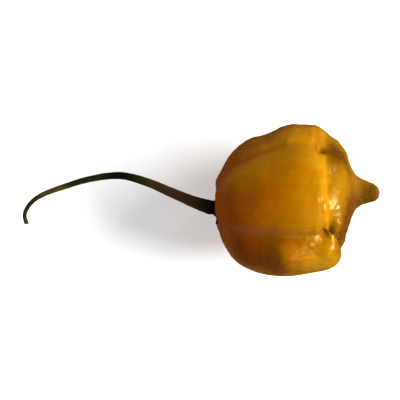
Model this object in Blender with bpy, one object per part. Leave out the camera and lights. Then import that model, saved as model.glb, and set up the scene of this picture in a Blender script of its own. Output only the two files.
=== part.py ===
# Trinidad Moruga scorpion pepper, picked, lying on its side.
# +X runs along the pod from the stem to the tail, +Z is up, and the origin is the
# middle of the flat spot that the pod rests on.

import math

import bmesh
import bpy
import numpy as np
from mathutils import Vector, noise
from mathutils.bvhtree import BVHTree

MM = 0.001

# The pod's middle line is this high over the surface. The lobe under it reaches half a millimetre
# lower than that surface, and is cut flat there.
AXIS_HEIGHT = 18.3
# The drawing below has its zero at the pod's middle, and the flat spot is here in it.
FLAT_SPOT_CENTRE = (1.6, -0.3)

# Pod, in millimetres. Its middle line is a list of (x, y, rise over the axis height).
MIDDLE_LINE = [
    (-18.0, -2.2, 0.0),
    (-12.0, -2.0, 0.0),
    (0.0, 0.0, 0.0),
    (12.0, 1.0, 0.1),
    (18.0, 2.2, 0.4),
    (21.5, 2.5, 1.3),
    (27.0, 2.2, 3.9),
]
# An outline is a list of (x, distance from the centreline).
STEM_PIT = [(-15.2, 0.0), (-15.3, 2.0), (-15.8, 3.6)]
TAIL = [
    (17.2, 11.2),
    (18.0, 8.8),
    (18.7, 6.7),
    (19.7, 4.8),
    (21.1, 3.6),
    (22.8, 2.95),
    (24.4, 2.4),
    (25.6, 1.5),
    (26.1, 0.0),
]
# Four lobes hang from the stem end like a skirt round the lower tier.
# crest: the outline along the lobe's middle, from the rim of the pit, over the fold under its
# end, to the shoulder of the lower tier.
# seam: the angle of its edge with the next lobe, from +Z towards +Y, and how far it drifts.
# groove: the depth of that seam below the crests, at the belly and at the lobe's end.
# flatness: how broad and level the lobe is across its middle.
LOBES = {
    "top": {
        "crest": [
            (-17.4, 6.2), (-16.6, 10.4), (-13.6, 14.5), (-8.4, 16.9), (-2.0, 18.3), (4.5, 18.9),
            (8.4, 18.6), (10.3, 17.9), (11.3, 17.0), (11.8, 15.9), (14.6, 14.7), (16.3, 13.2),
        ],
        "seam": (50.0, 3.0),
        "groove": (0.8, 3.2),
        "flatness": 3.0,
    },
    "left": {
        "crest": [
            (-17.1, 7.0), (-15.8, 10.1), (-12.6, 15.1), (-8.2, 17.8), (-3.0, 18.5), (2.6, 19.9),
            (7.2, 19.5), (9.4, 19.1), (11.0, 18.1), (12.0, 17.2), (13.2, 16.1), (15.2, 14.3),
        ],
        "seam": (141.0, -3.0),
        "groove": (2.6, 3.6),
        "flatness": 2.3,
    },
    "under": {
        "crest": [
            (-16.9, 6.6), (-16.2, 10.8), (-13.0, 15.2), (-7.6, 17.7), (-1.0, 18.8), (5.6, 18.6),
            (10.4, 17.4), (13.4, 15.9), (14.0, 14.7), (13.6, 14.1), (14.6, 14.4), (16.2, 13.2),
        ],
        "seam": (236.0, 3.0),
        "groove": (2.4, 3.6),
        "flatness": 2.8,
    },
    "right": {
        "crest": [
            (-16.1, 5.2), (-15.0, 8.6), (-12.4, 13.0), (-8.4, 16.6), (-3.0, 19.2), (3.6, 20.2),
            (10.4, 19.5), (14.6, 18.3), (15.9, 16.4), (15.0, 15.0), (15.7, 14.6), (16.9, 12.9),
        ],
        "seam": (326.5, -6.0),
        "groove": (2.2, 3.8),
        "flatness": 2.3,
    },
}
# What the seam gets at each point of a crest: a share of the groove's depth at the belly, a share
# of its depth at the end, how far it draws back from the lobe's end, and how soft its crease is.
SEAM_STEPS = [
    (0.3, 0.0, 0.0, 0.8),
    (0.65, 0.0, 0.0, 0.7),
    (0.9, 0.0, 0.0, 0.75),
    (1.0, 0.0, 0.0, 0.7),
    (1.0, 0.0, 0.0, 0.65),
    (1.0, 0.1, 0.0, 0.5),
    (0.7, 0.4, 0.5, 0.3),
    (0.2, 0.9, 1.7, 0.1),
    (0.0, 0.6, 1.8, 0.1),
    (0.0, 0.4, 0.5, 0.4),
    (0.0, 0.15, 0.0, 0.9),
    (0.0, 0.08, 0.1, 1.0),
]
SEAM_BELLY, SEAM_END, SEAM_DRAWN_BACK, SEAM_SOFTNESS = np.array(SEAM_STEPS).T
SEAM_SHARPNESS = 0.8
SEAM_DRIFT_LENGTH = 17.0
# Swellings and hollows: x, angle, reach along the pod, reach round it, and height.
SWELLINGS = [
    (-10.0, 74.0, 3.0, 4.5, 0.4),
    (-4.4, 73.0, 2.2, 4.5, -0.6),
    (3.0, 66.0, 8.0, 6.0, 0.9),
    (2.1, 55.0, 1.8, 1.8, 0.3),
    (-5.5, 56.0, 1.6, 2.0, 0.3),
    (0.0, 30.0, 10.0, 5.0, 0.7),
    (10.2, 52.0, 1.3, 1.5, -1.0),
    (12.9, 325.0, 1.8, 2.4, -0.55),
    (-4.4, 306.0, 3.4, 6.0, -0.7),
    (-10.5, 300.0, 3.0, 5.0, 0.2),
    (0.6, 306.0, 3.3, 6.0, 1.15),
    (6.0, 300.0, 2.4, 4.0, 0.3),
    (9.0, 312.0, 2.1, 3.4, -0.4),
    (13.4, 303.0, 2.4, 3.0, 0.8),
    (11.9, 343.0, 2.0, 4.0, 0.4),
    (12.8, 32.0, 1.7, 4.5, -0.1),
    (14.4, 327.0, 1.5, 2.2, 0.75),
    (13.5, 322.5, 1.3, 1.9, 1.3),
    (15.0, 62.0, 3.0, 5.0, -0.8),
    (16.6, 12.0, 2.0, 3.0, -0.3),
    (16.8, 338.0, 1.8, 2.4, 0.3),
    (17.0, 150.0, 2.0, 2.6, -0.5),
    (17.0, 238.0, 2.0, 2.6, -0.5),
]
UNEVEN_HEIGHT = 0.3
UNEVEN_SCALE = 7.0

COLUMNS_PER_LOBE = 20
RINGS_PER_SPAN = 2
MIDDLE_LINE_STEPS = 8

# Stem, in millimetres: (x, y, z, radius) from its cut end to the calyx.
STEM = [
    (-67.7, -6.1, 8.6, 0.58),
    (-68.2, -3.6, 8.8, 0.52),
    (-66.8, -0.8, 9.3, 0.58),
    (-63.6, 1.6, 10.1, 0.64),
    (-57.4, 3.9, 11.8, 0.72),
    (-50.5, 5.9, 13.6, 0.80),
    (-42.8, 6.8, 15.6, 0.92),
    (-35.9, 5.2, 17.2, 1.06),
    (-28.7, 2.2, 18.3, 1.24),
    (-23.0, -0.2, 18.6, 1.50),
    (-18.6, -1.7, 18.4, 1.85),
]
STEM_RIBS = 5
STEM_RIB_HEIGHT = 0.05
STEM_SIDES = 30
STEM_STEPS = 4
# Calyx, as (distance from the stem's middle, height over the pod), from its ringed neck, over the
# margin and along its underside.
CALYX = [
    (1.8, 2.3), (1.72, 1.8), (1.95, 1.5), (2.3, 1.25), (2.65, 1.05), (2.9, 0.92), (3.05, 0.75),
    (3.1, 0.5), (2.95, 0.3), (2.1, 0.3), (1.3, 0.3),
]
CALYX_MARGIN = 3.1
# Its teeth: how many, how far they reach past the margin, the angle of the first one, which is the
# longest, and how alike they are, from 0 to 1.
CALYX_TEETH = 5
CALYX_TOOTH = 1.4
CALYX_FIRST_TOOTH = 270.0
CALYX_EVENNESS = 0.5
# One side of the margin stands off the pod: its angle from +Z towards +Y, its reach and its height.
CALYX_LIFT = (270.0, 40.0, 0.4)


def clear_scene():
    for obj in list(bpy.data.objects):
        bpy.data.objects.remove(obj, do_unlink=True)


def make_material(name, colour, roughness):
    material = bpy.data.materials.new(name)
    material.use_nodes = True
    shader = material.node_tree.nodes["Principled BSDF"]
    shader.inputs["Base Color"].default_value = (*colour, 1.0)
    shader.inputs["Roughness"].default_value = roughness
    shader.inputs["Metallic"].default_value = 0.0
    return material


def smooth_line(points, steps):
    """Catmull-Rom curve through points, with that many steps from each to the next."""
    p = np.array(points, float)
    p = np.concatenate([[2 * p[0] - p[1]], p, [2 * p[-1] - p[-2]]])
    t = (np.arange(steps) / steps).reshape(-1, *[1] * (p.ndim - 1))
    spans = [
        b + 0.5 * (t * (c - a) + t**2 * (2 * a - 5 * b + 4 * c - d) + t**3 * (3 * b - a - 3 * c + d))
        for a, b, c, d in zip(p[:-3], p[1:-2], p[2:-1], p[3:])
    ]
    return np.concatenate([*spans, p[-2:-1]])


def seam_outline(before, after):
    """The outline along the groove between two lobes."""
    mean = (np.array(before["crest"]) + np.array(after["crest"])) / 2
    belly, end = before["groove"]
    mean[:, 0] -= SEAM_DRAWN_BACK
    mean[:, 1] -= belly * SEAM_BELLY + end * SEAM_END
    return mean


def fullness(across, flatness):
    """How far a lobe rises at each point of its crest, from 0 in the seam to 1 along its middle."""
    rise = (1 - abs(across) ** flatness) ** SEAM_SHARPNESS
    return (np.hypot(rise, SEAM_SOFTNESS) - SEAM_SOFTNESS) / (np.hypot(1, SEAM_SOFTNESS) - SEAM_SOFTNESS)


def pod_grid():
    """Points of the pod's skin: rings from the stem pit to the tail's tip, columns round each lobe."""
    lobes = list(LOBES.values())
    columns, shares, neighbours = [], [], []
    for i, lobe in enumerate(lobes):
        before, after = lobes[i - 1], lobes[(i + 1) % len(lobes)]
        crest = np.array(lobe["crest"])
        for k in range(COLUMNS_PER_LOBE):
            across = -1 + 2 * k / COLUMNS_PER_LOBE
            seam = seam_outline(before, lobe) if across < 0 else seam_outline(lobe, after)
            skirt = seam + (crest - seam) * fullness(across, lobe["flatness"])[:, None]
            columns.append(np.concatenate([STEM_PIT, skirt, TAIL]))
            shares.append((across + 1) / 2)
            neighbours.append((before["seam"], lobe["seam"]))
    outline = smooth_line(np.array(columns).transpose(1, 0, 2), RINGS_PER_SPAN)
    x, reach = outline[..., 0], outline[..., 1]
    seams = np.array(neighbours)
    start, finish = [s[:, 0] + s[:, 1] * x / SEAM_DRIFT_LENGTH for s in (seams[:, 0], seams[:, 1])]
    start = np.where(start > finish, start - 360, start)
    angle = np.radians(start + (finish - start) * np.array(shares))
    middle = smooth_line(MIDDLE_LINE, MIDDLE_LINE_STEPS)
    y = np.interp(x, middle[:, 0], middle[:, 1]) + reach * np.sin(angle)
    z = AXIS_HEIGHT + np.interp(x, middle[:, 0], middle[:, 2]) + reach * np.cos(angle)
    return np.stack([x, y, z], axis=-1), angle, reach


def grid_normals(points):
    along = np.gradient(points, axis=0)
    around = np.roll(points, -1, axis=1) - np.roll(points, 1, axis=1)
    normal = np.cross(along, around)
    return normal / np.maximum(np.linalg.norm(normal, axis=-1, keepdims=True), 1e-9)


def swell(points, angle, reach):
    """Raises the swellings, sinks the hollows, and leaves the skin slightly uneven."""
    height = np.zeros(points.shape[:2])
    for x, degrees, along, around, rise in SWELLINGS:
        turn = (angle - math.radians(degrees) + math.pi) % (2 * math.pi) - math.pi
        height += rise * np.exp(-(((points[..., 0] - x) / along) ** 2) - (turn * reach / around) ** 2)
    for index in np.ndindex(height.shape):
        place = Vector(points[index]) / UNEVEN_SCALE
        height[index] += UNEVEN_HEIGHT * noise.noise(place)
    height[[0, -1]] = 0
    return points + grid_normals(points) * height[..., None]


def skin_over(rings, bottom, top):
    """A closed mesh over rings of points, with a single point at each end."""
    bm = bmesh.new()
    loops = [[bm.verts.new(p) for p in ring] for ring in rings]
    for a, b in zip(loops[:-1], loops[1:]):
        for k in range(len(a)):
            bm.faces.new((a[k - 1], a[k], b[k], b[k - 1]))
    for loop, point in ((loops[0], bottom), (loops[-1], top)):
        pole = bm.verts.new(point)
        for k in range(len(loop)):
            bm.faces.new((loop[k - 1], loop[k], pole))
    bmesh.ops.recalc_face_normals(bm, faces=bm.faces)
    return bm


def to_row_frame(points):
    offset = np.array([FLAT_SPOT_CENTRE[0], FLAT_SPOT_CENTRE[1], 0.0])
    return (np.array(points) - offset) * MM


def add_object(name, bm, material):
    mesh = bpy.data.meshes.new(name)
    bm.to_mesh(mesh)
    bm.free()
    mesh.materials.append(material)
    mesh.shade_smooth()
    obj = bpy.data.objects.new(name, mesh)
    bpy.context.scene.collection.objects.link(obj)
    return obj


def build_pod(material):
    points, angle, reach = pod_grid()
    points = swell(points, angle, reach)
    points = to_row_frame(points)
    bm = skin_over(points[1:-1], points[0, 0], points[-1, 0])
    everything = bm.verts[:] + bm.edges[:] + bm.faces[:]
    cut = bmesh.ops.bisect_plane(bm, geom=everything, plane_no=(0, 0, -1), clear_outer=True)
    rim = [e for e in cut["geom_cut"] if isinstance(e, bmesh.types.BMEdge)]
    bmesh.ops.edgeloop_fill(bm, edges=rim)
    bmesh.ops.recalc_face_normals(bm, faces=bm.faces)
    return add_object("pod", bm, material)


def frames_along(path):
    """Two crossways directions at each point of a path, carried along it without twist."""
    tangent = np.gradient(path, axis=0)
    tangent /= np.linalg.norm(tangent, axis=1, keepdims=True)
    side = np.zeros_like(path)
    side[-1] = (0, 0, 1)
    for k in range(len(path) - 2, -1, -1):
        side[k] = side[k + 1] - tangent[k] * (side[k + 1] @ tangent[k])
        side[k] /= np.linalg.norm(side[k])
    return side, np.cross(side, tangent)


def stem_rings(turn):
    path = smooth_line(STEM, STEM_STEPS)
    up, aside = frames_along(path[:, :3])
    ribbed = 1 + STEM_RIB_HEIGHT * np.cos(STEM_RIBS * turn)
    across = np.stack([np.cos(turn) * ribbed, np.sin(turn) * ribbed], axis=1)
    return [p[:3] + p[3] * (across @ np.stack([u, a])) for p, u, a in zip(path, up, aside)]


def calyx_rings(turn, pod):
    """Rings that follow the pod's skin, at the heights in CALYX over it."""
    skin = bmesh.new()
    skin.from_mesh(pod.data)
    tree = BVHTree.FromBMesh(skin)
    skin.free()
    foot = STEM[-1]
    from_tooth = turn - math.radians(CALYX_FIRST_TOOTH)
    tooth = CALYX_TOOTH * (0.5 + 0.5 * np.cos(CALYX_TEETH * from_tooth)) ** 2
    tooth = tooth * (CALYX_EVENNESS + (1 - CALYX_EVENNESS) * np.cos(from_tooth))
    side, reach, lift = CALYX_LIFT
    off_side = (np.degrees(turn) - side + 180) % 360 - 180
    lifted = lift * np.exp(-((off_side / reach) ** 2))
    rings = []
    for distance, height in CALYX:
        outwards = distance / CALYX_MARGIN
        d = distance + tooth * max(0.0, 2 * outwards - 1)
        ring = []
        for y, z, rise in zip(foot[1] + d * np.sin(turn), foot[2] + d * np.cos(turn), lifted * outwards**2):
            start = Vector(to_row_frame((foot[0] - CALYX_MARGIN, y, z)))
            touch = tree.ray_cast(start, Vector((1, 0, 0)))[0]
            ring.append(touch - Vector((height + rise, 0, 0)) * MM)
        rings.append(np.array(ring))
    return rings


def build_stem(material, pod):
    """The stem as a tapered tube, and the calyx that spreads from its foot over the pod."""
    turn = 2 * math.pi * np.arange(STEM_SIDES) / STEM_SIDES
    stem = [to_row_frame(ring) for ring in stem_rings(turn)]
    calyx = calyx_rings(turn, pod)
    bm = skin_over(stem + calyx, stem[0].mean(axis=0), calyx[-1].mean(axis=0))
    return add_object("stem", bm, material)


def main():
    clear_scene()
    skin = make_material("pod_skin", (0.78, 0.33, 0.012), 0.22)
    green = make_material("stem_green", (0.09, 0.13, 0.035), 0.55)
    pod = build_pod(skin)
    build_stem(green, pod)


main()
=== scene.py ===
# Trinidad Moruga scorpion pepper: the fine skin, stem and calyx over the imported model.
import math

import bpy
import numpy as np
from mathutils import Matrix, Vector, noise


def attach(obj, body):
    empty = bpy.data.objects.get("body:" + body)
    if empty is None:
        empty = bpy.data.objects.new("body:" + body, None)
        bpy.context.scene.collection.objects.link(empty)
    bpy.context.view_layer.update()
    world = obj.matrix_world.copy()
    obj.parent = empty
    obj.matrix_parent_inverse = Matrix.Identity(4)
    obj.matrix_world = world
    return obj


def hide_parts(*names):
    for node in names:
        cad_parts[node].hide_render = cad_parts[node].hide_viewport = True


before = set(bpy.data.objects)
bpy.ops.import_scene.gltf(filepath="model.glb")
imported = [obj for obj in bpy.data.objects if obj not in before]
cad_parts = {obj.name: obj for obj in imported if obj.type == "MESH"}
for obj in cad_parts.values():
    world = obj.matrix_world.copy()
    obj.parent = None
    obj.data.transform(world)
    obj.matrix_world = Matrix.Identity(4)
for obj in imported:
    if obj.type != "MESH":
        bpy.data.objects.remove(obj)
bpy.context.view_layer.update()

mm = 0.001
white = (1.0, 1.0, 1.0, 1.0)
black = (0.0, 0.0, 0.0, 1.0)


# Helpers for node trees, of geometry and of shaders alike

def fill(tree, socket, value):
    if isinstance(value, bpy.types.NodeSocket):
        tree.links.new(value, socket)
    else:
        socket.default_value = value


def addNode(tree, kind, inputs=None, **settings):
    node = tree.nodes.new(kind)
    for name, value in settings.items():
        setattr(node, name, value)
    for key, value in (inputs or {}).items():
        fill(tree, node.inputs[key], value)
    return node


def calc(tree, operation, *values, clamp=False):
    inputs = dict(enumerate(values))
    return addNode(tree, "ShaderNodeMath", inputs, operation=operation, use_clamp=clamp).outputs[0]


def vectorCalc(tree, operation, *values):
    inputs = dict(enumerate(values))
    return addNode(tree, "ShaderNodeVectorMath", inputs, operation=operation).outputs[0]


def scaled(tree, vector, scale):
    inputs = {0: vector, "Scale": scale}
    return addNode(tree, "ShaderNodeVectorMath", inputs, operation="SCALE").outputs[0]


def split(tree, vector):
    return addNode(tree, "ShaderNodeSeparateXYZ", {0: vector}).outputs[:3]


def combined(tree, x, y, z):
    return addNode(tree, "ShaderNodeCombineXYZ", {0: x, 1: y, 2: z}).outputs[0]


def total(tree, *values):
    answer = values[0]
    for value in values[1:]:
        answer = calc(tree, "ADD", answer, value)
    return answer


def product(tree, *values):
    answer = values[0]
    for value in values[1:]:
        answer = calc(tree, "MULTIPLY", answer, value)
    return answer


def between(tree, value, low, high):  # 0 below low, 1 above high, smooth in between
    inputs = {"Value": value, "From Min": low, "From Max": high}
    return addNode(tree, "ShaderNodeMapRange", inputs, interpolation_type="SMOOTHSTEP").outputs[0]


def noiseAt(tree, vector, scale, detail, seed):  # 0 to 1, about 0.5
    inputs = {"Vector": vector, "Scale": scale, "Detail": detail, "W": seed}
    return addNode(tree, "ShaderNodeTexNoise", inputs, noise_dimensions="4D").outputs[0]


def waves(tree, vector, scale, detail, seed):  # the same, as -1 to 1
    return calc(tree, "MULTIPLY_ADD", noiseAt(tree, vector, scale, detail, seed), 2.0, -1.0)


def newTree(name, kind, inputs, outputs):
    tree = bpy.data.node_groups.new(name, kind)
    for direction, sockets in (("INPUT", inputs), ("OUTPUT", outputs)):
        for label, valueKind in sockets:
            tree.interface.new_socket(label, in_out=direction, socket_type="NodeSocket" + valueKind)
    given, out = tree.nodes.new("NodeGroupInput"), tree.nodes.new("NodeGroupOutput")
    return tree, given.outputs, out.inputs


# The end of a geometry tree: smooth, real and in its material.
def finishTree(tree, geometry, given, out):
    smooth = addNode(tree, "GeometryNodeSetShadeSmooth", {"Geometry": geometry})
    real = addNode(tree, "GeometryNodeRealizeInstances", {"Geometry": smooth.outputs[0]})
    skinned = addNode(tree, "GeometryNodeSetMaterial", {
        "Geometry": real.outputs[0], "Material": given["Skin"]})
    fill(tree, out["Geometry"], skinned.outputs[0])


# Runs a geometry tree on an object and keeps its result as a plain mesh.
def grow(obj, tree, values):
    modifier = obj.modifiers.new(tree.name, "NODES")
    modifier.node_group = tree
    for item in tree.interface.items_tree:
        if item.in_out == "INPUT" and item.name in values:
            modifier[item.identifier] = values[item.name]
    graph = bpy.context.evaluated_depsgraph_get()
    mesh = bpy.data.meshes.new_from_object(obj.evaluated_get(graph))
    mesh.name = obj.name
    if obj.type == "MESH":
        obj.modifiers.remove(modifier)
        obj.data = mesh
        return obj
    name = obj.name
    bpy.data.objects.remove(obj)
    return addObject(name, mesh)


def addObject(name, data):
    obj = bpy.data.objects.new(name, data)
    bpy.context.scene.collection.objects.link(obj)
    return obj


def srgb(red, green, blue):
    channels = [c / 255 for c in (red, green, blue)]
    return (*[c / 12.92 if c <= 0.04045 else ((c + 0.055) / 1.055) ** 2.4 for c in channels], 1.0)


def blend(tree, share, first, second):
    return addNode(tree, "ShaderNodeMix", {0: share, 2: first, 3: second}).outputs[0]


def blendColour(tree, share, first, second):
    inputs = {0: share, 6: first, 7: second}
    return addNode(tree, "ShaderNodeMix", inputs, data_type="RGBA").outputs[2]


# The pod's form, in millimetres from the pod's middle. An outline is a list of (x, distance from
# the middle line). Each lobe's crest runs from the rim of the stem pit, over the fold under its
# end, to the tier.
podForm = {
    "flatSpotCentre": (1.6, -0.3),  # x, y
    "axisHeight": 18.3,
    # x, y, height over the axis
    "middleLine": [
        (-18.0, -2.2, 0.0), (-12.0, -2.0, 0.0), (0.0, 0.0, 0.0), (12.0, 1.0, 0.1), (18.0, 2.2, 0.4),
        (21.5, 2.5, 1.3), (27.0, 2.2, 3.9),
    ],
    "stemPit": [(-15.2, 0.0), (-15.3, 2.0), (-15.8, 3.6)],
    "tail": [
        (17.2, 11.2), (18.0, 8.8), (18.7, 6.7), (19.7, 4.8), (21.1, 3.6), (22.8, 2.95), (24.4, 2.4),
        (25.6, 1.5), (26.1, 0.0),
    ],
    # seam: angle of the seam after the lobe, and its drift; groove: depths on the belly, at the end
    "lobes": {
        "top": {
            "crest": [
                (-17.4, 6.2), (-16.6, 10.4), (-13.6, 14.5), (-8.4, 16.9), (-2.0, 18.3), (4.5, 18.9),
                (8.4, 18.6), (10.3, 17.9), (11.3, 17.0), (11.8, 15.9), (14.6, 14.7), (16.3, 13.2),
            ],
            "seam": (50.0, 3.0),
            "groove": (0.8, 3.2),
            "flatness": 3.0,
        },
        "left": {
            "crest": [
                (-17.1, 7.0), (-15.8, 10.1), (-12.6, 15.1), (-8.2, 17.8), (-3.0, 18.5), (2.6, 19.9),
                (7.2, 19.5), (9.4, 19.1), (11.0, 18.1), (12.0, 17.2), (13.2, 16.1), (15.2, 14.3),
            ],
            "seam": (141.0, -3.0),
            "groove": (2.6, 3.6),
            "flatness": 2.3,
        },
        "under": {
            "crest": [
                (-16.9, 6.6), (-16.2, 10.8), (-13.0, 15.2), (-7.6, 17.7), (-1.0, 18.8), (5.6, 18.6),
                (10.4, 17.4), (13.4, 15.9), (14.0, 14.7), (13.6, 14.1), (14.6, 14.4), (16.2, 13.2),
            ],
            "seam": (236.0, 3.0),
            "groove": (2.4, 3.6),
            "flatness": 2.8,
        },
        "right": {
            "crest": [
                (-16.1, 5.2), (-15.0, 8.6), (-12.4, 13.0), (-8.4, 16.6), (-3.0, 19.2), (3.6, 20.2),
                (10.4, 19.5), (14.6, 18.3), (15.9, 16.4), (15.0, 15.0), (15.7, 14.6), (16.9, 12.9),
            ],
            "seam": (326.5, -6.0),
            "groove": (2.2, 3.8),
            "flatness": 2.3,
        },
    },
    # at each point of a crest, the seam's shares of the groove's two depths, how far it draws
    # back from the lobe's end, and how soft it is
    "seamSteps": [
        (0.3, 0.0, 0.0, 0.8), (0.65, 0.0, 0.0, 0.7), (0.9, 0.0, 0.0, 0.75), (1.0, 0.0, 0.0, 0.7),
        (1.0, 0.0, 0.0, 0.65), (1.0, 0.1, 0.0, 0.5), (0.7, 0.4, 0.5, 0.3), (0.2, 0.9, 1.7, 0.1),
        (0.0, 0.6, 1.8, 0.1), (0.0, 0.4, 0.5, 0.4), (0.0, 0.15, 0.0, 0.9), (0.0, 0.08, 0.1, 1.0),
    ],
    "seamSharpness": 0.8,
    "deepest": 3.0,  # from here on a seam counts as fully deep
    "seamDriftLength": 17.0,  # over which a seam turns by its drift
    # x, angle from +Z towards +Y, reach along the pod, reach round it, height
    "swellings": [
        (-10.0, 74.0, 3.0, 4.5, 0.4), (-4.4, 73.0, 2.2, 4.5, -0.6), (3.0, 66.0, 8.0, 6.0, 0.9),
        (2.1, 55.0, 1.8, 1.8, 0.3), (-5.5, 56.0, 1.6, 2.0, 0.3), (0.0, 30.0, 10.0, 5.0, 0.7),
        (10.2, 52.0, 1.3, 1.5, -1.0), (12.9, 325.0, 1.8, 2.4, -0.55), (-4.4, 306.0, 3.4, 6.0, -0.7),
        (-10.5, 300.0, 3.0, 5.0, 0.2), (0.6, 306.0, 3.3, 6.0, 1.15), (6.0, 300.0, 2.4, 4.0, 0.3),
        (9.0, 312.0, 2.1, 3.4, -0.4), (13.4, 303.0, 2.4, 3.0, 0.8), (11.9, 343.0, 2.0, 4.0, 0.4),
        (12.8, 32.0, 1.7, 4.5, -0.1), (14.4, 327.0, 1.5, 2.2, 0.75), (13.5, 322.5, 1.3, 1.9, 1.3),
        (15.0, 62.0, 3.0, 5.0, -0.8), (16.6, 12.0, 2.0, 3.0, -0.3), (16.8, 338.0, 1.8, 2.4, 0.3),
        (17.0, 150.0, 2.0, 2.6, -0.5), (17.0, 238.0, 2.0, 2.6, -0.5),
    ],
    # small bumps that catch the light, in the same terms
    "spots": [
        (12.0, 308.0, 1.7, 2.1, 0.36), (11.1, 352.0, 0.8, 1.5, 0.22), (8.0, 14.0, 0.5, 0.8, 0.12),
        (9.0, 0.0, 0.5, 0.8, 0.12), (1.4, 53.0, 0.6, 0.6, 0.12), (-5.3, 305.0, 0.5, 5.0, 0.16),
        (2.2, 56.0, 0.5, 0.7, 0.15),
    ],
    "unevenHeight": 0.3,
    "unevenSize": 7.0,
    "tierStart": 12,  # in points of the outline, from the pit to the tail's tip
    "columnsPerLobe": 84,
    "ringsPerSpan": 11,
    "middleLineSteps": 8,
}
# Patches of colour, in the same terms, with their strength instead of a height; most of them are painted
# shade, light or reflection.
podPatches = {
    # red: painted shade on the lower lobe's shaded side and along the top seam, partly the skin's own
    # redder tone
    "red": [
        (-7.0, 304.0, 6.5, 6.0, 0.8), (8.0, 314.0, 2.0, 1.6, 0.5), (1.0, 298.0, 3.0, 3.5, 0.3),
        (-6.0, 70.0, 6.0, 4.0, 0.2), (7.0, 66.0, 3.0, 3.5, 0.3), (-1.0, 285.0, 3.0, 4.0, 0.3),
        (-6.0, 49.5, 7.0, 1.0, 0.35), (3.5, 51.0, 5.0, 0.8, 0.2),
    ],
    # painted shade: dark brown on the tier's upper and lower flanks and on the tail's lower side
    "dark": [
        (14.0, 55.0, 2.6, 5.5, 0.85), (16.6, 50.0, 2.5, 4.5, 0.7), (17.4, 337.0, 1.9, 6.0, 0.75),
        (20.3, 318.0, 3.0, 4.2, 0.95), (15.9, 308.5, 2.2, 5.0, 0.95),
    ],
    # pale: mostly painted light that lifts shaded hollows by the lower lobe's end, the lower flank and
    # the top seam; partly a paler patch of skin on the top lobe
    "pale": [
        (-8.0, 33.0, 6.0, 4.0, 0.6), (0.0, 56.0, 7.0, 4.0, 0.45), (11.0, 299.0, 3.0, 4.0, 0.7),
        (-5.0, 277.0, 9.0, 5.0, 0.8), (13.7, 322.0, 1.6, 2.0, 0.8),
    ],
    # painted reflection: a pale mauve band along the seam under the top lobe
    "bloom": [(-11.0, 335.5, 4.5, 1.3, 0.7), (-3.5, 332.0, 4.5, 1.1, 0.7), (4.0, 330.0, 5.0, 0.8, 0.3)],
}
# Where the skin is wrinkled and pebbled.
podAreas = {
    # in spans between the outline's points, counted from the tier's start
    "tierShows": (-0.5, 1.0),
    "tierFades": (5.5, 8.0),
    "lobeEnd": (-1.8, 1.2),  # middle, reach
    # how strongly pebbled
    "allOver": 0.25,
    "onTier": 0.5,
    "lowerSlope": (308.0, 16.0, 1.3),  # angle, reach in degrees, strength
    "lowerSlopeShows": (-2.0, 3.0),  # x
    "upperSlope": (76.0, 18.0, 0.6),
    "most": 1.6,
    "smoothKnuckle": (13.2, 307.0, 2.4, 3.0, 0.8),
}


def smoothLine(points, steps):  # Catmull-Rom
    p = np.array(points, float)
    p = np.concatenate([[2 * p[0] - p[1]], p, [2 * p[-1] - p[-2]]])
    t = (np.arange(steps) / steps).reshape(-1, *[1] * (p.ndim - 1))
    spans = [
        b + 0.5 * (t * (c - a) + t**2 * (2 * a - 5 * b + 4 * c - d) + t**3 * (3 * b - a - 3 * c + d))
        for a, b, c, d in zip(p[:-3], p[1:-2], p[2:-1], p[3:])
    ]
    return np.concatenate([*spans, p[-2:-1]])


def seamOutline(before, after, steps):
    mean = (np.array(before["crest"]) + np.array(after["crest"])) / 2
    belly, end = before["groove"]
    mean[:, 0] -= steps[:, 2]
    mean[:, 1] -= belly * steps[:, 0] + end * steps[:, 1]
    return mean


def fullness(across, flatness, soft):  # 0 in the seam, 1 along the lobe's middle
    rise = (1 - abs(across) ** flatness) ** podForm["seamSharpness"]
    return (np.hypot(rise, soft) - soft) / (np.hypot(1, soft) - soft)


# Rings of points from the pit to the tail's tip, with the angle, the reach and the depth in the seam.
def podGrid():
    lobes = list(podForm["lobes"].values())
    steps = np.array(podForm["seamSteps"])
    perLobe = podForm["columnsPerLobe"]
    columns, shares, neighbours = [], [], []
    for i, lobe in enumerate(lobes):
        before, after = lobes[i - 1], lobes[(i + 1) % len(lobes)]
        crest = np.array(lobe["crest"])
        for k in range(perLobe):
            across = -1 + 2 * k / perLobe
            sides = (before, lobe) if across < 0 else (lobe, after)
            seam = seamOutline(*sides, steps)
            full = fullness(across, lobe["flatness"], steps[:, 3])[:, None]
            skirt = seam + (crest - seam) * full
            skirt = np.hstack([skirt, (crest[:, 1:] - skirt[:, 1:]) / podForm["deepest"]])
            ends = [np.pad(podForm[part], ((0, 0), (0, 1))) for part in ("stemPit", "tail")]
            columns.append(np.concatenate([ends[0], skirt, ends[1]]))
            shares.append((across + 1) / 2)
            neighbours.append((before["seam"], lobe["seam"]))
    outline = smoothLine(np.array(columns).transpose(1, 0, 2), podForm["ringsPerSpan"])
    x, reach, valley = outline[..., 0], outline[..., 1], outline[..., 2].clip(0, 1)
    seams = np.array(neighbours)
    drift = x / podForm["seamDriftLength"]
    start, finish = [side[:, 0] + side[:, 1] * drift for side in (seams[:, 0], seams[:, 1])]
    start = np.where(start > finish, start - 360, start)
    angle = np.radians(start + (finish - start) * np.array(shares))
    middle = smoothLine(podForm["middleLine"], podForm["middleLineSteps"])
    y = np.interp(x, middle[:, 0], middle[:, 1]) + reach * np.sin(angle)
    z = podForm["axisHeight"] + np.interp(x, middle[:, 0], middle[:, 2]) + reach * np.cos(angle)
    return np.stack([x, y, z], axis=-1), angle, reach, valley


def gridNormals(points):
    along = np.gradient(points, axis=0)
    around = np.roll(points, -1, axis=1) - np.roll(points, 1, axis=1)
    normal = np.cross(along, around)
    return normal / np.maximum(np.linalg.norm(normal, axis=-1, keepdims=True), 1e-9)


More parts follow.
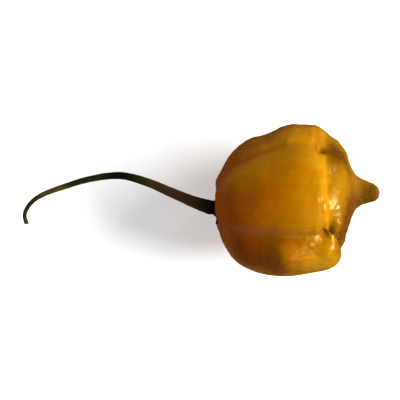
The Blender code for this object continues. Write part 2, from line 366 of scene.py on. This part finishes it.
# The sum of soft spots, each (x, angle, reach along the pod, reach round it, height).
def spotsOver(points, angle, reach, spots):
    height = np.zeros(points.shape[:2])
    for x, degrees, along, around, rise in spots:
        turn = (angle - math.radians(degrees) + math.pi) % (2 * math.pi) - math.pi
        height += rise * np.exp(-(((points[..., 0] - x) / along) ** 2) - (turn * reach / around) ** 2)
    return height


def swell(points, angle, reach):
    height = spotsOver(points, angle, reach, podForm["swellings"] + podForm["spots"])
    for index in np.ndindex(height.shape):
        place = Vector(points[index]) / podForm["unevenSize"]
        height[index] += podForm["unevenHeight"] * noise.noise(place)
    height[[0, -1]] = 0
    return points + gridNormals(points) * height[..., None]


def toRowFrame(points):
    return (np.array(points) - (*podForm["flatSpotCentre"], 0.0)) * mm


# A closed mesh over rings of points, whose first and last rings are one point each.
def skinOver(name, rings, attributes):
    rows, columns = rings.shape[:2]
    inner = rings[1:-1].reshape(-1, 3)
    points = np.vstack([rings[0, :1], inner, rings[-1, :1]])
    last = len(points) - 1
    faces = []
    for row in range(rows - 3):
        a = 1 + row * columns
        faces += [(a + k, a + columns + k, a + columns + (k + 1) % columns, a + (k + 1) % columns)
                  for k in range(columns)]
    faces += [(0, 1 + k, 1 + (k + 1) % columns) for k in range(columns)]
    a = last - columns
    faces += [(last, a + (k + 1) % columns, a + k) for k in range(columns)]
    mesh = bpy.data.meshes.new(name)
    mesh.from_pydata(points.tolist(), [], faces)
    for key, values in attributes.items():
        flat = np.concatenate([values[0, :1], values[1:-1].ravel(), values[-1, :1]])
        mesh.attributes.new(key, "FLOAT", "POINT").data.foreach_set("value", flat.astype(np.float32))
    return mesh


# The skin's relief: heights and sizes in metres.
podRelief = {
    "Unevenness": 0.00012,
    "Uneven Size": 0.0045,
    "Pebble Height": 0.00024,
    "Pebble Size": 0.0016,
    "Lobe Wrinkle Height": 0.00006,
    "Lobe Wrinkle Size": 0.0014,
    "End Wrinkle Height": 0.00010,
    "Tier Wrinkle Height": 0.00008,
    "Tier Wrinkles": 40.0,  # round the tier
    "Seed": 4.0,
}
# How far each kind of wrinkle is drawn out: less than 1 is longer that way.
wrinkleStretch = {"lobe": (0.12, 1.0, 1.0), "end": (1.0, 0.16, 0.16), "tier": 2.0}


def named(tree, name):
    return addNode(tree, "GeometryNodeInputNamedAttribute", {"Name": name}, data_type="FLOAT").outputs[0]


def podReliefTree():
    sizes = [(name, "Float") for name in podRelief]
    tree, given, out = newTree(
        "podRelief", "GeometryNodeTree",
        [("Geometry", "Geometry"), *sizes, ("Skin", "Material")],
        [("Geometry", "Geometry")])
    place = addNode(tree, "GeometryNodeInputPosition").outputs[0]
    normal = addNode(tree, "GeometryNodeInputNormal").outputs[0]
    station = named(tree, "station")
    tier, lobeEnd, pebbled = named(tree, "tier"), named(tree, "lobeEnd"), named(tree, "pebbled")

    def perSize(name):
        return calc(tree, "DIVIDE", 1.0, given[name])

    def laterSeed(step):
        return calc(tree, "ADD", given["Seed"], step)

    uneven = waves(tree, place, perSize("Uneven Size"), 1.0, given["Seed"])
    uneven = product(tree, uneven, given["Unevenness"])
    pebbles = waves(tree, place, perSize("Pebble Size"), 1.5, laterSeed(3.0))
    pebbles = product(tree, pebbles, given["Pebble Height"], pebbled)
    lengthways = vectorCalc(tree, "MULTIPLY", place, wrinkleStretch["lobe"])
    wrinkles = waves(tree, lengthways, perSize("Lobe Wrinkle Size"), 2.0, laterSeed(7.0))
    wrinkles = product(tree, wrinkles, given["Lobe Wrinkle Height"])
    crossways = vectorCalc(tree, "MULTIPLY", place, wrinkleStretch["end"])
    endWrinkles = waves(tree, crossways, perSize("Lobe Wrinkle Size"), 2.0, laterSeed(11.0))
    endWrinkles = product(tree, endWrinkles, given["End Wrinkle Height"], lobeEnd)
    fromPit = product(tree, station, wrinkleStretch["tier"])
    spokes = combined(tree, named(tree, "turnCosine"), named(tree, "turnSine"), fromPit)
    spokeScale = calc(tree, "DIVIDE", given["Tier Wrinkles"], 2 * math.pi)
    tierWrinkles = waves(tree, spokes, spokeScale, 2.0, laterSeed(19.0))
    tierWrinkles = product(tree, tierWrinkles, given["Tier Wrinkle Height"], tier)

    height = total(tree, uneven, pebbles, wrinkles, endWrinkles, tierWrinkles)
    moved = addNode(tree, "GeometryNodeSetPosition", {
        "Geometry": given["Geometry"], "Offset": scaled(tree, normal, height)})
    # nothing below the surface that it rests on
    x, y, z = split(tree, addNode(tree, "GeometryNodeInputPosition").outputs[0])
    rested = addNode(tree, "GeometryNodeSetPosition", {
        "Geometry": moved.outputs[0],
        "Position": combined(tree, x, y, calc(tree, "MAXIMUM", z, 0.0))})
    finishTree(tree, rested.outputs[0], given, out)
    return tree


def bell(value, centre, reach):
    return np.exp(-(((value - centre) / reach) ** 2))


def rising(value, low, high):
    t = ((value - low) / (high - low)).clip(0, 1)
    return t * t * (3 - 2 * t)


def makePod(skin):
    points, angle, reach, valley = podGrid()
    points = swell(points, angle, reach)
    points[..., 2] = points[..., 2].clip(0, None)
    span = (np.arange(len(points)) / podForm["ringsPerSpan"])[:, None]
    span = np.broadcast_to(span, valley.shape)
    fromTier = span - podForm["tierStart"]
    area = podAreas
    tier = rising(fromTier, *area["tierShows"]) * (1 - rising(fromTier, *area["tierFades"]))
    degrees = np.degrees(angle) % 360
    lower, upper = [
        strength * bell(degrees, middle, width)
        for middle, width, strength in (area["lowerSlope"], area["upperSlope"])]
    lower *= rising(points[..., 0], *area["lowerSlopeShows"])
    pebbled = area["allOver"] + lower + upper + area["onTier"] * tier
    knuckle = spotsOver(points, angle, reach, [area["smoothKnuckle"]])
    attributes = {
        "turnCosine": np.cos(angle),
        "turnSine": np.sin(angle),
        "station": span / span.max(),
        "valley": valley,
        "tier": tier,
        "lobeEnd": bell(fromTier, *area["lobeEnd"]) * (1 - valley),
        "pebbled": pebbled.clip(0, area["most"]) * (1 - knuckle),
    }
    for name, patches in podPatches.items():
        attributes[name] = spotsOver(points, angle, reach, patches).clip(0, 1)
    pod = addObject("podFlesh", skinOver("podFlesh", toRowFrame(points), attributes))
    return grow(pod, podReliefTree(), {**podRelief, "Skin": skin})


# Shader groups that both skins use

def mottleGroup():
    tree, given, out = newTree(
        "mottle", "ShaderNodeTree",
        [("Vector", "Vector"), ("Size", "Float"), ("Seed", "Float"), ("Low", "Float"), ("High", "Float")],
        [("Mask", "Float")])
    scale = calc(tree, "DIVIDE", 1.0, given["Size"])
    cloud = noiseAt(tree, given["Vector"], scale, 3.0, given["Seed"])
    fill(tree, out["Mask"], between(tree, cloud, given["Low"], given["High"]))
    return tree


def grainGroup():
    tree, given, out = newTree(
        "grain", "ShaderNodeTree",
        [("Vector", "Vector"), ("Stretch", "Vector"), ("Size", "Float"), ("Seed", "Float")],
        [("Height", "Float")])
    drawn = vectorCalc(tree, "MULTIPLY", given["Vector"], given["Stretch"])
    scale = calc(tree, "DIVIDE", 1.0, given["Size"])
    fill(tree, out["Height"], noiseAt(tree, drawn, scale, 3.0, given["Seed"]))
    return tree


def useGroup(tree, group, values):
    node = addNode(tree, "ShaderNodeGroup", node_tree=group)
    for name, value in values.items():
        fill(tree, node.inputs[name], value)
    return node.outputs[0]


def attribute(tree, name):
    return addNode(tree, "ShaderNodeAttribute", attribute_name=name).outputs["Fac"]


def newMaterial(name):
    material = bpy.data.materials.new(name)
    material.use_nodes = True
    return material.node_tree, material.node_tree.nodes["Principled BSDF"], material


podFinish = {
    "gold": srgb(178, 133, 3),
    "amber": srgb(146, 76, 1),
    # ember: painted shade, in the seams and the red patches
    "shadeEmber": srgb(104, 50, 1),
    "olive": srgb(154, 115, 4),
    # straw: the pale patches, mostly painted light
    "straw": srgb(190, 142, 6),
    # umber: the painted shade of the dark patches
    "shadeUmber": srgb(106, 66, 2),
    # painted shade: the tier and the tail, turned away from the lights, are browner and darker
    "tierShadeBrown": srgb(131, 94, 4),
    "tailShadeBrown": srgb(97, 69, 6),
    # mauve: the painted reflection band
    "reflectedMauve": srgb(150, 92, 48),
    # the darker amber towards the stem is partly ripening and partly painted shade on the end away from
    # the lights
    "ripeningAndShade": (-0.015, 0.0105),  # x, in metres: amber before, gold after
    "cloudSize": 0.008,
    "clouds": 0.2,
    "streakStretch": (0.1, 1.0, 1.0),
    "streakSize": 0.0016,
    "streaks": 0.36,
    "olivePatchSize": 0.011,
    "olivePatches": 0.3,
    # how strongly painted shade darkens and reddens the deepest seams
    "seamShade": 0.45,
    "tierShare": 0.55,
    "tailDarkens": (0.7, 1.0),  # in shares of the way from the pit to the tail's tip
    "tailShare": 0.95,
    "roughness": (0.19, 0.33),
    "roughPatchSize": 0.003,
    "tailDulls": (0.68, 0.8),  # in the same shares
    "tailRoughness": 0.5,
    "specular": 0.42,
    "sheen": (1.0, 0.8, 0.45, 1.0),
    "glow": 0.2,
    "glowRadius": (1.0, 0.32, 0.06),
    "glowScale": 0.0022,
    "bumpDistance": 0.00007,
    # stretch, size, seed, height
    "fineLines": {
        "along": ((0.12, 1.0, 1.0), 0.0007, 1.0, 0.35),
        "roundEnds": ((1.0, 0.15, 0.15), 0.0006, 2.0, 1.0),
        "overTier": ((1.0, 1.0, 1.0), 0.05, 3.0, 2.0),
        "pebbles": ((1.0, 1.0, 1.0), 0.0009, 4.0, 1.8),
    },
    "tierLineStretch": 1.6,
}


def podColour(tree, place, mottle, grain, tier, tail):
    look = podFinish

    # Amber towards the stem, gold towards the tail: partly ripening, partly painted shade on the stem
    # end, away from the lights.
    stemEnd, tailEnd = look["ripeningAndShade"]
    ripeAndLit = addNode(tree, "ShaderNodeMapRange", {
        "Value": split(tree, place)[0], "From Min": stemEnd, "From Max": tailEnd}).outputs[0]
    clouds = useGroup(tree, mottle, {
        "Vector": place, "Size": look["cloudSize"], "Seed": 2.0, "Low": 0.3, "High": 0.75})
    streaks = useGroup(tree, grain, {
        "Vector": place, "Stretch": look["streakStretch"], "Size": look["streakSize"], "Seed": 8.0})
    streaks = calc(tree, "MULTIPLY_ADD", streaks, look["streaks"], -look["streaks"] / 2)
    ripeAndLit = calc(tree, "SUBTRACT", ripeAndLit, calc(tree, "MULTIPLY", clouds, look["clouds"]))
    ripeAndLit = calc(tree, "ADD", ripeAndLit, streaks, clamp=True)
    olive = useGroup(tree, mottle, {
        "Vector": place, "Size": look["olivePatchSize"], "Seed": 9.0, "Low": 0.45, "High": 0.75})
    olive = product(tree, olive, look["olivePatches"])
    # Painted shade: the seams are darker and redder by their depth, and so are the red patches.
    valley = attribute(tree, "valley")
    red = product(tree, valley, valley, look["seamShade"])
    red = calc(tree, "MAXIMUM", attribute(tree, "red"), red)
    colour = blendColour(tree, ripeAndLit, look["amber"], look["gold"])
    # Over it: straw patches, mostly painted light; olive mottling; painted shade in the seams and red
    # patches, on the tier and the tail, and in the dark patches; a painted reflection band.
    for share, name in (
        (attribute(tree, "pale"), "straw"),
        (olive, "olive"),
        (red, "shadeEmber"),
        (calc(tree, "MULTIPLY", tier, look["tierShare"]), "tierShadeBrown"),
        (calc(tree, "MULTIPLY", tail, look["tailShare"]), "tailShadeBrown"),
        (attribute(tree, "dark"), "shadeUmber"),
        (attribute(tree, "bloom"), "reflectedMauve"),
    ):
        colour = blendColour(tree, share, colour, look[name])
    return colour


def podSkin(mottle, grain):
    tree, shader, material = newMaterial("podSkin")
    look = podFinish
    place = addNode(tree, "ShaderNodeTexCoord").outputs["Object"]
    tier, station = attribute(tree, "tier"), attribute(tree, "station")
    # where the tail is darkened with painted shade
    tail = between(tree, station, *look["tailDarkens"])
    fill(tree, shader.inputs["Base Color"], podColour(tree, place, mottle, grain, tier, tail))
    patches = useGroup(tree, mottle, {
        "Vector": place, "Size": look["roughPatchSize"], "Seed": 5.0, "Low": 0.3, "High": 0.7})
    low, high = look["roughness"]
    roughness = calc(tree, "MULTIPLY_ADD", patches, high - low, low)
    dull = between(tree, station, *look["tailDulls"])
    dull = calc(tree, "MULTIPLY", dull, look["tailRoughness"] - low)
    fill(tree, shader.inputs["Roughness"], calc(tree, "ADD", roughness, dull))
    fromPit = calc(tree, "MULTIPLY", station, look["tierLineStretch"])
    spokes = combined(tree, attribute(tree, "turnCosine"), attribute(tree, "turnSine"), fromPit)
    drawnOn = {
        "along": (place, 1.0),
        "roundEnds": (place, attribute(tree, "lobeEnd")),
        "overTier": (spokes, tier),
        "pebbles": (place, attribute(tree, "pebbled")),
    }
    layers = []
    for name, (vector, share) in drawnOn.items():
        stretch, size, seed, height = look["fineLines"][name]
        fine = useGroup(tree, grain, {
            "Vector": vector, "Stretch": stretch, "Size": size, "Seed": seed})
        layers.append(product(tree, fine, share, height))
    bump = addNode(tree, "ShaderNodeBump", {
        "Strength": 1.0, "Distance": look["bumpDistance"], "Height": total(tree, *layers)})
    fill(tree, shader.inputs["Normal"], bump.outputs[0])
    fill(tree, shader.inputs["Specular IOR Level"], look["specular"])
    fill(tree, shader.inputs["Specular Tint"], look["sheen"])
    fill(tree, shader.inputs["Subsurface Weight"], look["glow"])
    fill(tree, shader.inputs["Subsurface Radius"], look["glowRadius"])
    fill(tree, shader.inputs["Subsurface Scale"], look["glowScale"])
    return material


# The stem: (x, y, z, radius) from its cut end to the calyx, in millimetres as the pod's form is.
stemForm = {
    "path": [
        (-67.7, -6.1, 8.6, 0.58), (-68.2, -3.6, 8.8, 0.52), (-66.8, -0.8, 9.3, 0.58),
        (-63.6, 1.6, 10.1, 0.64), (-57.4, 3.9, 11.8, 0.72), (-50.5, 5.9, 13.6, 0.80),
        (-42.8, 6.8, 15.6, 0.92), (-35.9, 5.2, 17.2, 1.06), (-28.7, 2.2, 18.3, 1.24),
        (-23.0, -0.2, 18.6, 1.50), (-18.6, -1.7, 18.4, 1.85),
    ],
    "pathSteps": 16,
    "ringPoints": 60,
    "sunkIn": 1.9,  # the shaft runs this far on into the calyx
    "neckRadius": 1.72,
}
# Heights in metres; the scales are those of the noise.
stemRelief = {
    "Ribs": 5.0,
    "Rib Height": 0.055,  # a share of the radius
    "Fibre Scale": 3.2,
    "Fibre Shortness": 60.0,
    "Fibre Height": 0.00006,
    "Knot Scale": 550.0,
    "Knot Height": 0.00010,
    "Seed": 2.0,
}
# The calyx is a loft from the stem's middle, over its own margin and back underneath.
calyxForm = {
    # share of the loft, distance from the stem's middle in mm
    "reach": [
        (0.0, 0.0), (0.06, 1.45), (0.16, 1.78), (0.26, 2.05), (0.38, 2.35), (0.5, 2.65),
        (0.6, 2.95), (0.68, 3.1), (0.74, 3.0), (0.86, 2.0), (1.0, 0.0),
    ],
    # share of the loft, height over the pod in mm
    "height": [
        (0.0, 2.5), (0.06, 2.5), (0.16, 2.2), (0.26, 1.55), (0.38, 1.25), (0.5, 1.05),
        (0.6, 0.92), (0.68, 0.62), (0.74, 0.34), (0.86, 0.3), (1.0, 0.3),
    ],
    "largest": 5.0,
    "columns": 121,
    "rows": 72,
    # in metres: how far before the stem's foot a ray towards the pod starts, and its length
    "rayStart": 0.02,
    "rayLength": 0.1,
    "mergeDistance": 0.000002,  # closes the loft into a skin
}
# Metres and radians, and counts and shares.
calyxSizes = {
    "Margin": 0.0031,
    "Teeth": 5.0,
    "Tooth": 0.0014,
    "Evenness": 0.5,
    "Tooth Sharpness": 2.2,
    "First Tooth": math.radians(270),
    "Lift": 0.0004,
    "Lift Angle": math.radians(270),
    "Lift Reach": math.radians(40),
    "Vein Height": 0.00008,
}


def stemPath():
    path = smoothLine(stemForm["path"], stemForm["pathSteps"])
    foot = path[-1].copy()
    foot[0] += stemForm["sunkIn"]
    foot[3] = stemForm["neckRadius"]
    path = np.vstack([path, foot])
    curve = bpy.data.curves.new("stemShaft", "CURVE")
    curve.dimensions = "3D"
    curve.twist_mode = "MINIMUM"
    spline = curve.splines.new("POLY")
    spline.points.add(len(path) - 1)
    places = toRowFrame(path[:, :3])
    for point, place, radius in zip(spline.points, places, path[:, 3] * mm):
        point.co = (*place, 1.0)
        point.radius = radius
    return addObject("stemShaft", curve)


def floatCurve(tree, share, points):
    node = addNode(tree, "ShaderNodeFloatCurve", {"Value": share})
    curve = node.mapping.curves[0]
    while len(curve.points) < len(points):
        curve.points.new(0.5, 0.5)
    for handle, (at, value) in zip(curve.points, points):
        handle.location = (at, value / calyxForm["largest"])
    node.mapping.update()
    return product(tree, node.outputs[0], calyxForm["largest"] * mm)


def stored(tree, geometry, name, value):
    return addNode(tree, "GeometryNodeStoreNamedAttribute", {
        "Geometry": geometry, "Name": name, "Value": value}, data_type="FLOAT").outputs[0]


# A ribbed ring swept along the path.
def shaftPart(tree, given):
    length = addNode(tree, "GeometryNodeSplineParameter").outputs["Length"]
    path = stored(tree, given["Geometry"], "alongStem", length)
    share = addNode(tree, "GeometryNodeSplineParameter").outputs["Factor"]
    turn = product(tree, share, 2 * math.pi)
    ring = addNode(tree, "GeometryNodeCurvePrimitiveCircle", {
        "Resolution": stemForm["ringPoints"], "Radius": 1.0}).outputs[0]
    ring = stored(tree, ring, "aroundStem", turn)
    ridge = calc(tree, "COSINE", product(tree, turn, given["Ribs"]))
    ribbed = calc(tree, "MULTIPLY_ADD", ridge, given["Rib Height"], 1.0)
    place = addNode(tree, "GeometryNodeInputPosition").outputs[0]
    ring = addNode(tree, "GeometryNodeSetPosition", {
        "Geometry": ring, "Position": scaled(tree, place, ribbed)}).outputs[0]
    thickness = addNode(tree, "GeometryNodeInputRadius").outputs[0]
    return addNode(tree, "GeometryNodeCurveToMesh", {
        "Curve": path, "Profile Curve": ring, "Scale": thickness, "Fill Caps": True}).outputs[0]


# A loft round the foot of the shaft that follows the pod.
def calyxPart(tree, given):
    grid = addNode(tree, "GeometryNodeMeshGrid", {
        "Size X": 1.0, "Size Y": 1.0,
        "Vertices X": calyxForm["columns"], "Vertices Y": calyxForm["rows"]}).outputs[0]
    across, down, _ = split(tree, addNode(tree, "GeometryNodeInputPosition").outputs[0])
    turn = calc(tree, "MULTIPLY", calc(tree, "ADD", across, 0.5), 2 * math.pi)
    loft = calc(tree, "ADD", down, 0.5)
    reach = floatCurve(tree, loft, calyxForm["reach"])
    height = floatCurve(tree, loft, calyxForm["height"])
    outwards = calc(tree, "DIVIDE", reach, given["Margin"])
    # teeth, of which the first is the longest
    fromTooth = calc(tree, "SUBTRACT", turn, given["First Tooth"])
    lobed = calc(tree, "COSINE", product(tree, fromTooth, given["Teeth"]))
    lobed = calc(tree, "MULTIPLY_ADD", lobed, 0.5, 0.5)
    tooth = product(tree, calc(tree, "POWER", lobed, given["Tooth Sharpness"]), given["Tooth"])
    uneven = calc(tree, "SUBTRACT", 1.0, given["Evenness"])
    longer = calc(tree, "COSINE", fromTooth)
    longer = calc(tree, "MULTIPLY_ADD", longer, uneven, given["Evenness"])
    spread = calc(tree, "MULTIPLY_ADD", outwards, 2.0, -1.0)
    spread = calc(tree, "MAXIMUM", spread, 0.0)
    reach = calc(tree, "ADD", reach, product(tree, tooth, longer, spread))
    # lifted off the pod on one side
    facing = calc(tree, "COSINE", calc(tree, "SUBTRACT", turn, given["Lift Angle"]))
    narrow = calc(tree, "DIVIDE", 2.0, product(tree, given["Lift Reach"], given["Lift Reach"]))
    lifted = product(tree, calc(tree, "SUBTRACT", facing, 1.0), narrow)
    lifted = calc(tree, "EXPONENT", lifted)
    lifted = product(tree, lifted, given["Lift"], outwards, outwards)
    veins = product(tree, lobed, lobed, outwards, given["Vein Height"])
    height = total(tree, height, lifted, veins)
    # each point is drawn back from where a ray along x meets the pod
    footX, footY, footZ = split(tree, given["Foot"])
    start = calc(tree, "SUBTRACT", footX, calyxForm["rayStart"])
    y = calc(tree, "ADD", footY, product(tree, reach, calc(tree, "SINE", turn)))
    z = calc(tree, "ADD", footZ, product(tree, reach, calc(tree, "COSINE", turn)))
    pod = addNode(tree, "GeometryNodeObjectInfo", {"Object": given["Pod"]}).outputs["Geometry"]
    ray = addNode(tree, "GeometryNodeRaycast", {
        "Target Geometry": pod, "Source Position": combined(tree, start, y, z),
        "Ray Direction": (1.0, 0.0, 0.0), "Ray Length": calyxForm["rayLength"]})
    touch = split(tree, ray.outputs["Hit Position"])[0]
    place = combined(tree, calc(tree, "SUBTRACT", touch, height), y, z)
    calyx = addNode(tree, "GeometryNodeSetPosition", {"Geometry": grid, "Position": place})
    return addNode(tree, "GeometryNodeMergeByDistance", {
        "Geometry": calyx.outputs[0], "Distance": calyxForm["mergeDistance"]}).outputs[0]


def stemTree():
    sizes = [(name, "Float") for name in {**stemRelief, **calyxSizes}]
    tree, given, out = newTree(
        "stemAndCalyx", "GeometryNodeTree",
        [("Geometry", "Geometry"), ("Pod", "Object"), ("Foot", "Vector"), *sizes, ("Skin", "Material")],
        [("Geometry", "Geometry")])
    shaft, calyx = shaftPart(tree, given), calyxPart(tree, given)
    # both in one skin, with fibres along the shaft and small knots all over
    joined = addNode(tree, "GeometryNodeMeshBoolean", operation="UNION", solver="EXACT")
    for part in (shaft, calyx):
        fill(tree, joined.inputs["Mesh 2"], part)
    around = named(tree, "aroundStem")
    along = product(tree, named(tree, "alongStem"), given["Fibre Shortness"])
    fibres = combined(tree, calc(tree, "COSINE", around), calc(tree, "SINE", around), along)
    fibres = waves(tree, fibres, given["Fibre Scale"], 2.0, given["Seed"])
    fibres = product(tree, fibres, given["Fibre Height"])
    place = addNode(tree, "GeometryNodeInputPosition").outputs[0]
    knots = waves(tree, place, given["Knot Scale"], 1.0, given["Seed"])
    knots = product(tree, knots, given["Knot Height"])
    normal = addNode(tree, "GeometryNodeInputNormal").outputs[0]
    moved = addNode(tree, "GeometryNodeSetPosition", {
        "Geometry": joined.outputs[0],
        "Offset": scaled(tree, normal, calc(tree, "ADD", fibres, knots))})
    finishTree(tree, moved.outputs[0], given, out)
    return tree


def makeStem(skin, pod):
    foot = Vector(toRowFrame(stemForm["path"][-1][:3]))
    return grow(stemPath(), stemTree(), {
        **stemRelief, **calyxSizes, "Pod": pod, "Foot": foot, "Skin": skin})


stemFinish = {
    "olive": srgb(88, 78, 36),
    "leaf": srgb(46, 46, 20),
    "bark": srgb(86, 64, 42),
    "shade": srgb(14, 14, 3),
    "foot": srgb(26, 15, 12),
    "patchSize": 0.006,
    # x, in metres
    "barkShows": (-0.040, -0.030),
    "shadeMiddle": -0.045,
    "shadeReach": 0.007,
    "shadeShare": 0.95,
    "footShows": (-0.026, -0.0195),
    "roughness": 0.5,
    "specular": 0.25,
    "grainStretch": (0.3, 1.0, 1.0),
    "grainSize": 0.0005,
    "bumpStrength": 0.7,
    "bumpDistance": 0.0001,
}


def stemSkin(mottle, grain):
    tree, shader, material = newMaterial("stemSkin")
    look = stemFinish
    place = addNode(tree, "ShaderNodeTexCoord").outputs["Object"]
    x = split(tree, place)[0]
    patches = useGroup(tree, mottle, {
        "Vector": place, "Size": look["patchSize"], "Seed": 3.0, "Low": 0.35, "High": 0.65})
    colour = blendColour(tree, patches, look["leaf"], look["olive"])
    colour = blendColour(tree, between(tree, x, *look["barkShows"]), colour, look["bark"])
    offMiddle = calc(tree, "SUBTRACT", x, look["shadeMiddle"])
    offMiddle = calc(tree, "DIVIDE", offMiddle, look["shadeReach"])
    shade = calc(tree, "EXPONENT", product(tree, offMiddle, offMiddle, -1.0))
    colour = blendColour(tree, product(tree, shade, look["shadeShare"]), colour, look["shade"])
    colour = blendColour(tree, between(tree, x, *look["footShows"]), colour, look["foot"])
    fill(tree, shader.inputs["Base Color"], colour)
    fill(tree, shader.inputs["Roughness"], look["roughness"])
    fill(tree, shader.inputs["Specular IOR Level"], look["specular"])
    fine = useGroup(tree, grain, {
        "Vector": place, "Stretch": look["grainStretch"], "Size": look["grainSize"], "Seed": 6.0})
    bump = addNode(tree, "ShaderNodeBump", {
        "Strength": look["bumpStrength"], "Distance": look["bumpDistance"], "Height": fine})
    fill(tree, shader.inputs["Normal"], bump.outputs[0])
    return material


# Floor, light and camera

studio = {
    "viewWidth": 0.1058,
    "viewCentre": (-0.0229, 0.0006, 0.0185),
    "cameraHeight": 0.9,
    "sensor": 36.0,
    "lights": {  # place, size, power, seen in reflections
        "keyLight": ((0.54, -0.12, 0.38), (0.23, 0.14), 2.4, True),
        "windowLight": ((0.56, 0.19, 0.38), (0.4, 0.3), 2.8, False),
        "fillLight": ((-0.52, 0.0, 0.36), (0.8, 0.5), 1.1, False),
        "nearGlint": ((0.34, -0.54, 0.34), (0.11, 0.08), 0.3, True),
        "farGlint": ((0.36, 0.5, 0.3), (0.1, 0.08), 0.22, True),
    },
    "gamma": 0.8,
    "exposure": 0.95,
    "floorReach": 1.5,
    "floorColour": (0.86, 0.86, 0.86, 1.0),
    "floorRoughness": 0.9,
    # how brightly the floor and the world glow, and how brightly both show in reflections
    "floorGlow": 0.14,
    "world": 0.08,
    "reflectedGlow": 0.02,
}


def makeFloor():
    reach = studio["floorReach"]
    corners = [(-reach, -reach, 0), (reach, -reach, 0), (reach, reach, 0), (-reach, reach, 0)]
    mesh = bpy.data.meshes.new("floor")
    mesh.from_pydata(corners, [], [(0, 1, 2, 3)])
    tree, shader, material = newMaterial("paleFloor")
    reflected = addNode(tree, "ShaderNodeLightPath").outputs["Is Glossy Ray"]
    colour = blendColour(tree, reflected, studio["floorColour"], black)
    glow = blend(tree, reflected, studio["floorGlow"], studio["reflectedGlow"])
    fill(tree, shader.inputs["Base Color"], colour)
    fill(tree, shader.inputs["Roughness"], studio["floorRoughness"])
    fill(tree, shader.inputs["Emission Color"], white)
    fill(tree, shader.inputs["Emission Strength"], glow)
    mesh.materials.append(material)
    floor = addObject("floor", mesh)


def addLight(name, place, size, power, reflected):
    light = bpy.data.lights.new(name, "AREA")
    light.shape = "ELLIPSE"
    light.size, light.size_y = size
    light.energy = power
    obj = addObject(name, light)
    obj.location = place
    aim = Vector((0.0, 0.0, studio["viewCentre"][2]))
    obj.rotation_euler = (aim - Vector(place)).to_track_quat("-Z", "Y").to_euler()
    obj.visible_glossy = reflected


def makeWorld():
    world = bpy.data.worlds.new("studio")
    world.use_nodes = True
    tree = world.node_tree
    sky = tree.nodes["Background"].inputs
    reflected = addNode(tree, "ShaderNodeLightPath").outputs["Is Glossy Ray"]
    fill(tree, sky["Color"], white)
    fill(tree, sky["Strength"], blend(tree, reflected, studio["world"], studio["reflectedGlow"]))
    bpy.context.scene.world = world


def makeStudio():
    makeFloor()
    for name, settings in studio["lights"].items():
        addLight(name, *settings)
    makeWorld()
    view = bpy.context.scene.view_settings
    view.view_transform = "Standard"
    view.gamma = studio["gamma"]
    view.exposure = studio["exposure"]
    data = bpy.data.cameras.new("camera")
    data.sensor_width = studio["sensor"]
    data.lens = studio["sensor"] * studio["cameraHeight"] / studio["viewWidth"]
    camera = addObject("camera", data)
    x, y, z = studio["viewCentre"]
    camera.location = (x, y, z + studio["cameraHeight"])
    bpy.context.scene.camera = camera


mottle, grain = mottleGroup(), grainGroup()
pod = makePod(podSkin(mottle, grain))
print("pod:", len(pod.data.polygons), "faces")
stem = makeStem(stemSkin(mottle, grain), pod)
print("stem and calyx:", len(stem.data.polygons), "faces")
for piece, node, slotName in ((pod, "pod", "pod_skin"), (stem, "stem", "stem_green")):
    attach(piece, "root")
    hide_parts(node)
makeStudio()
print("studio: floor, lights and camera")
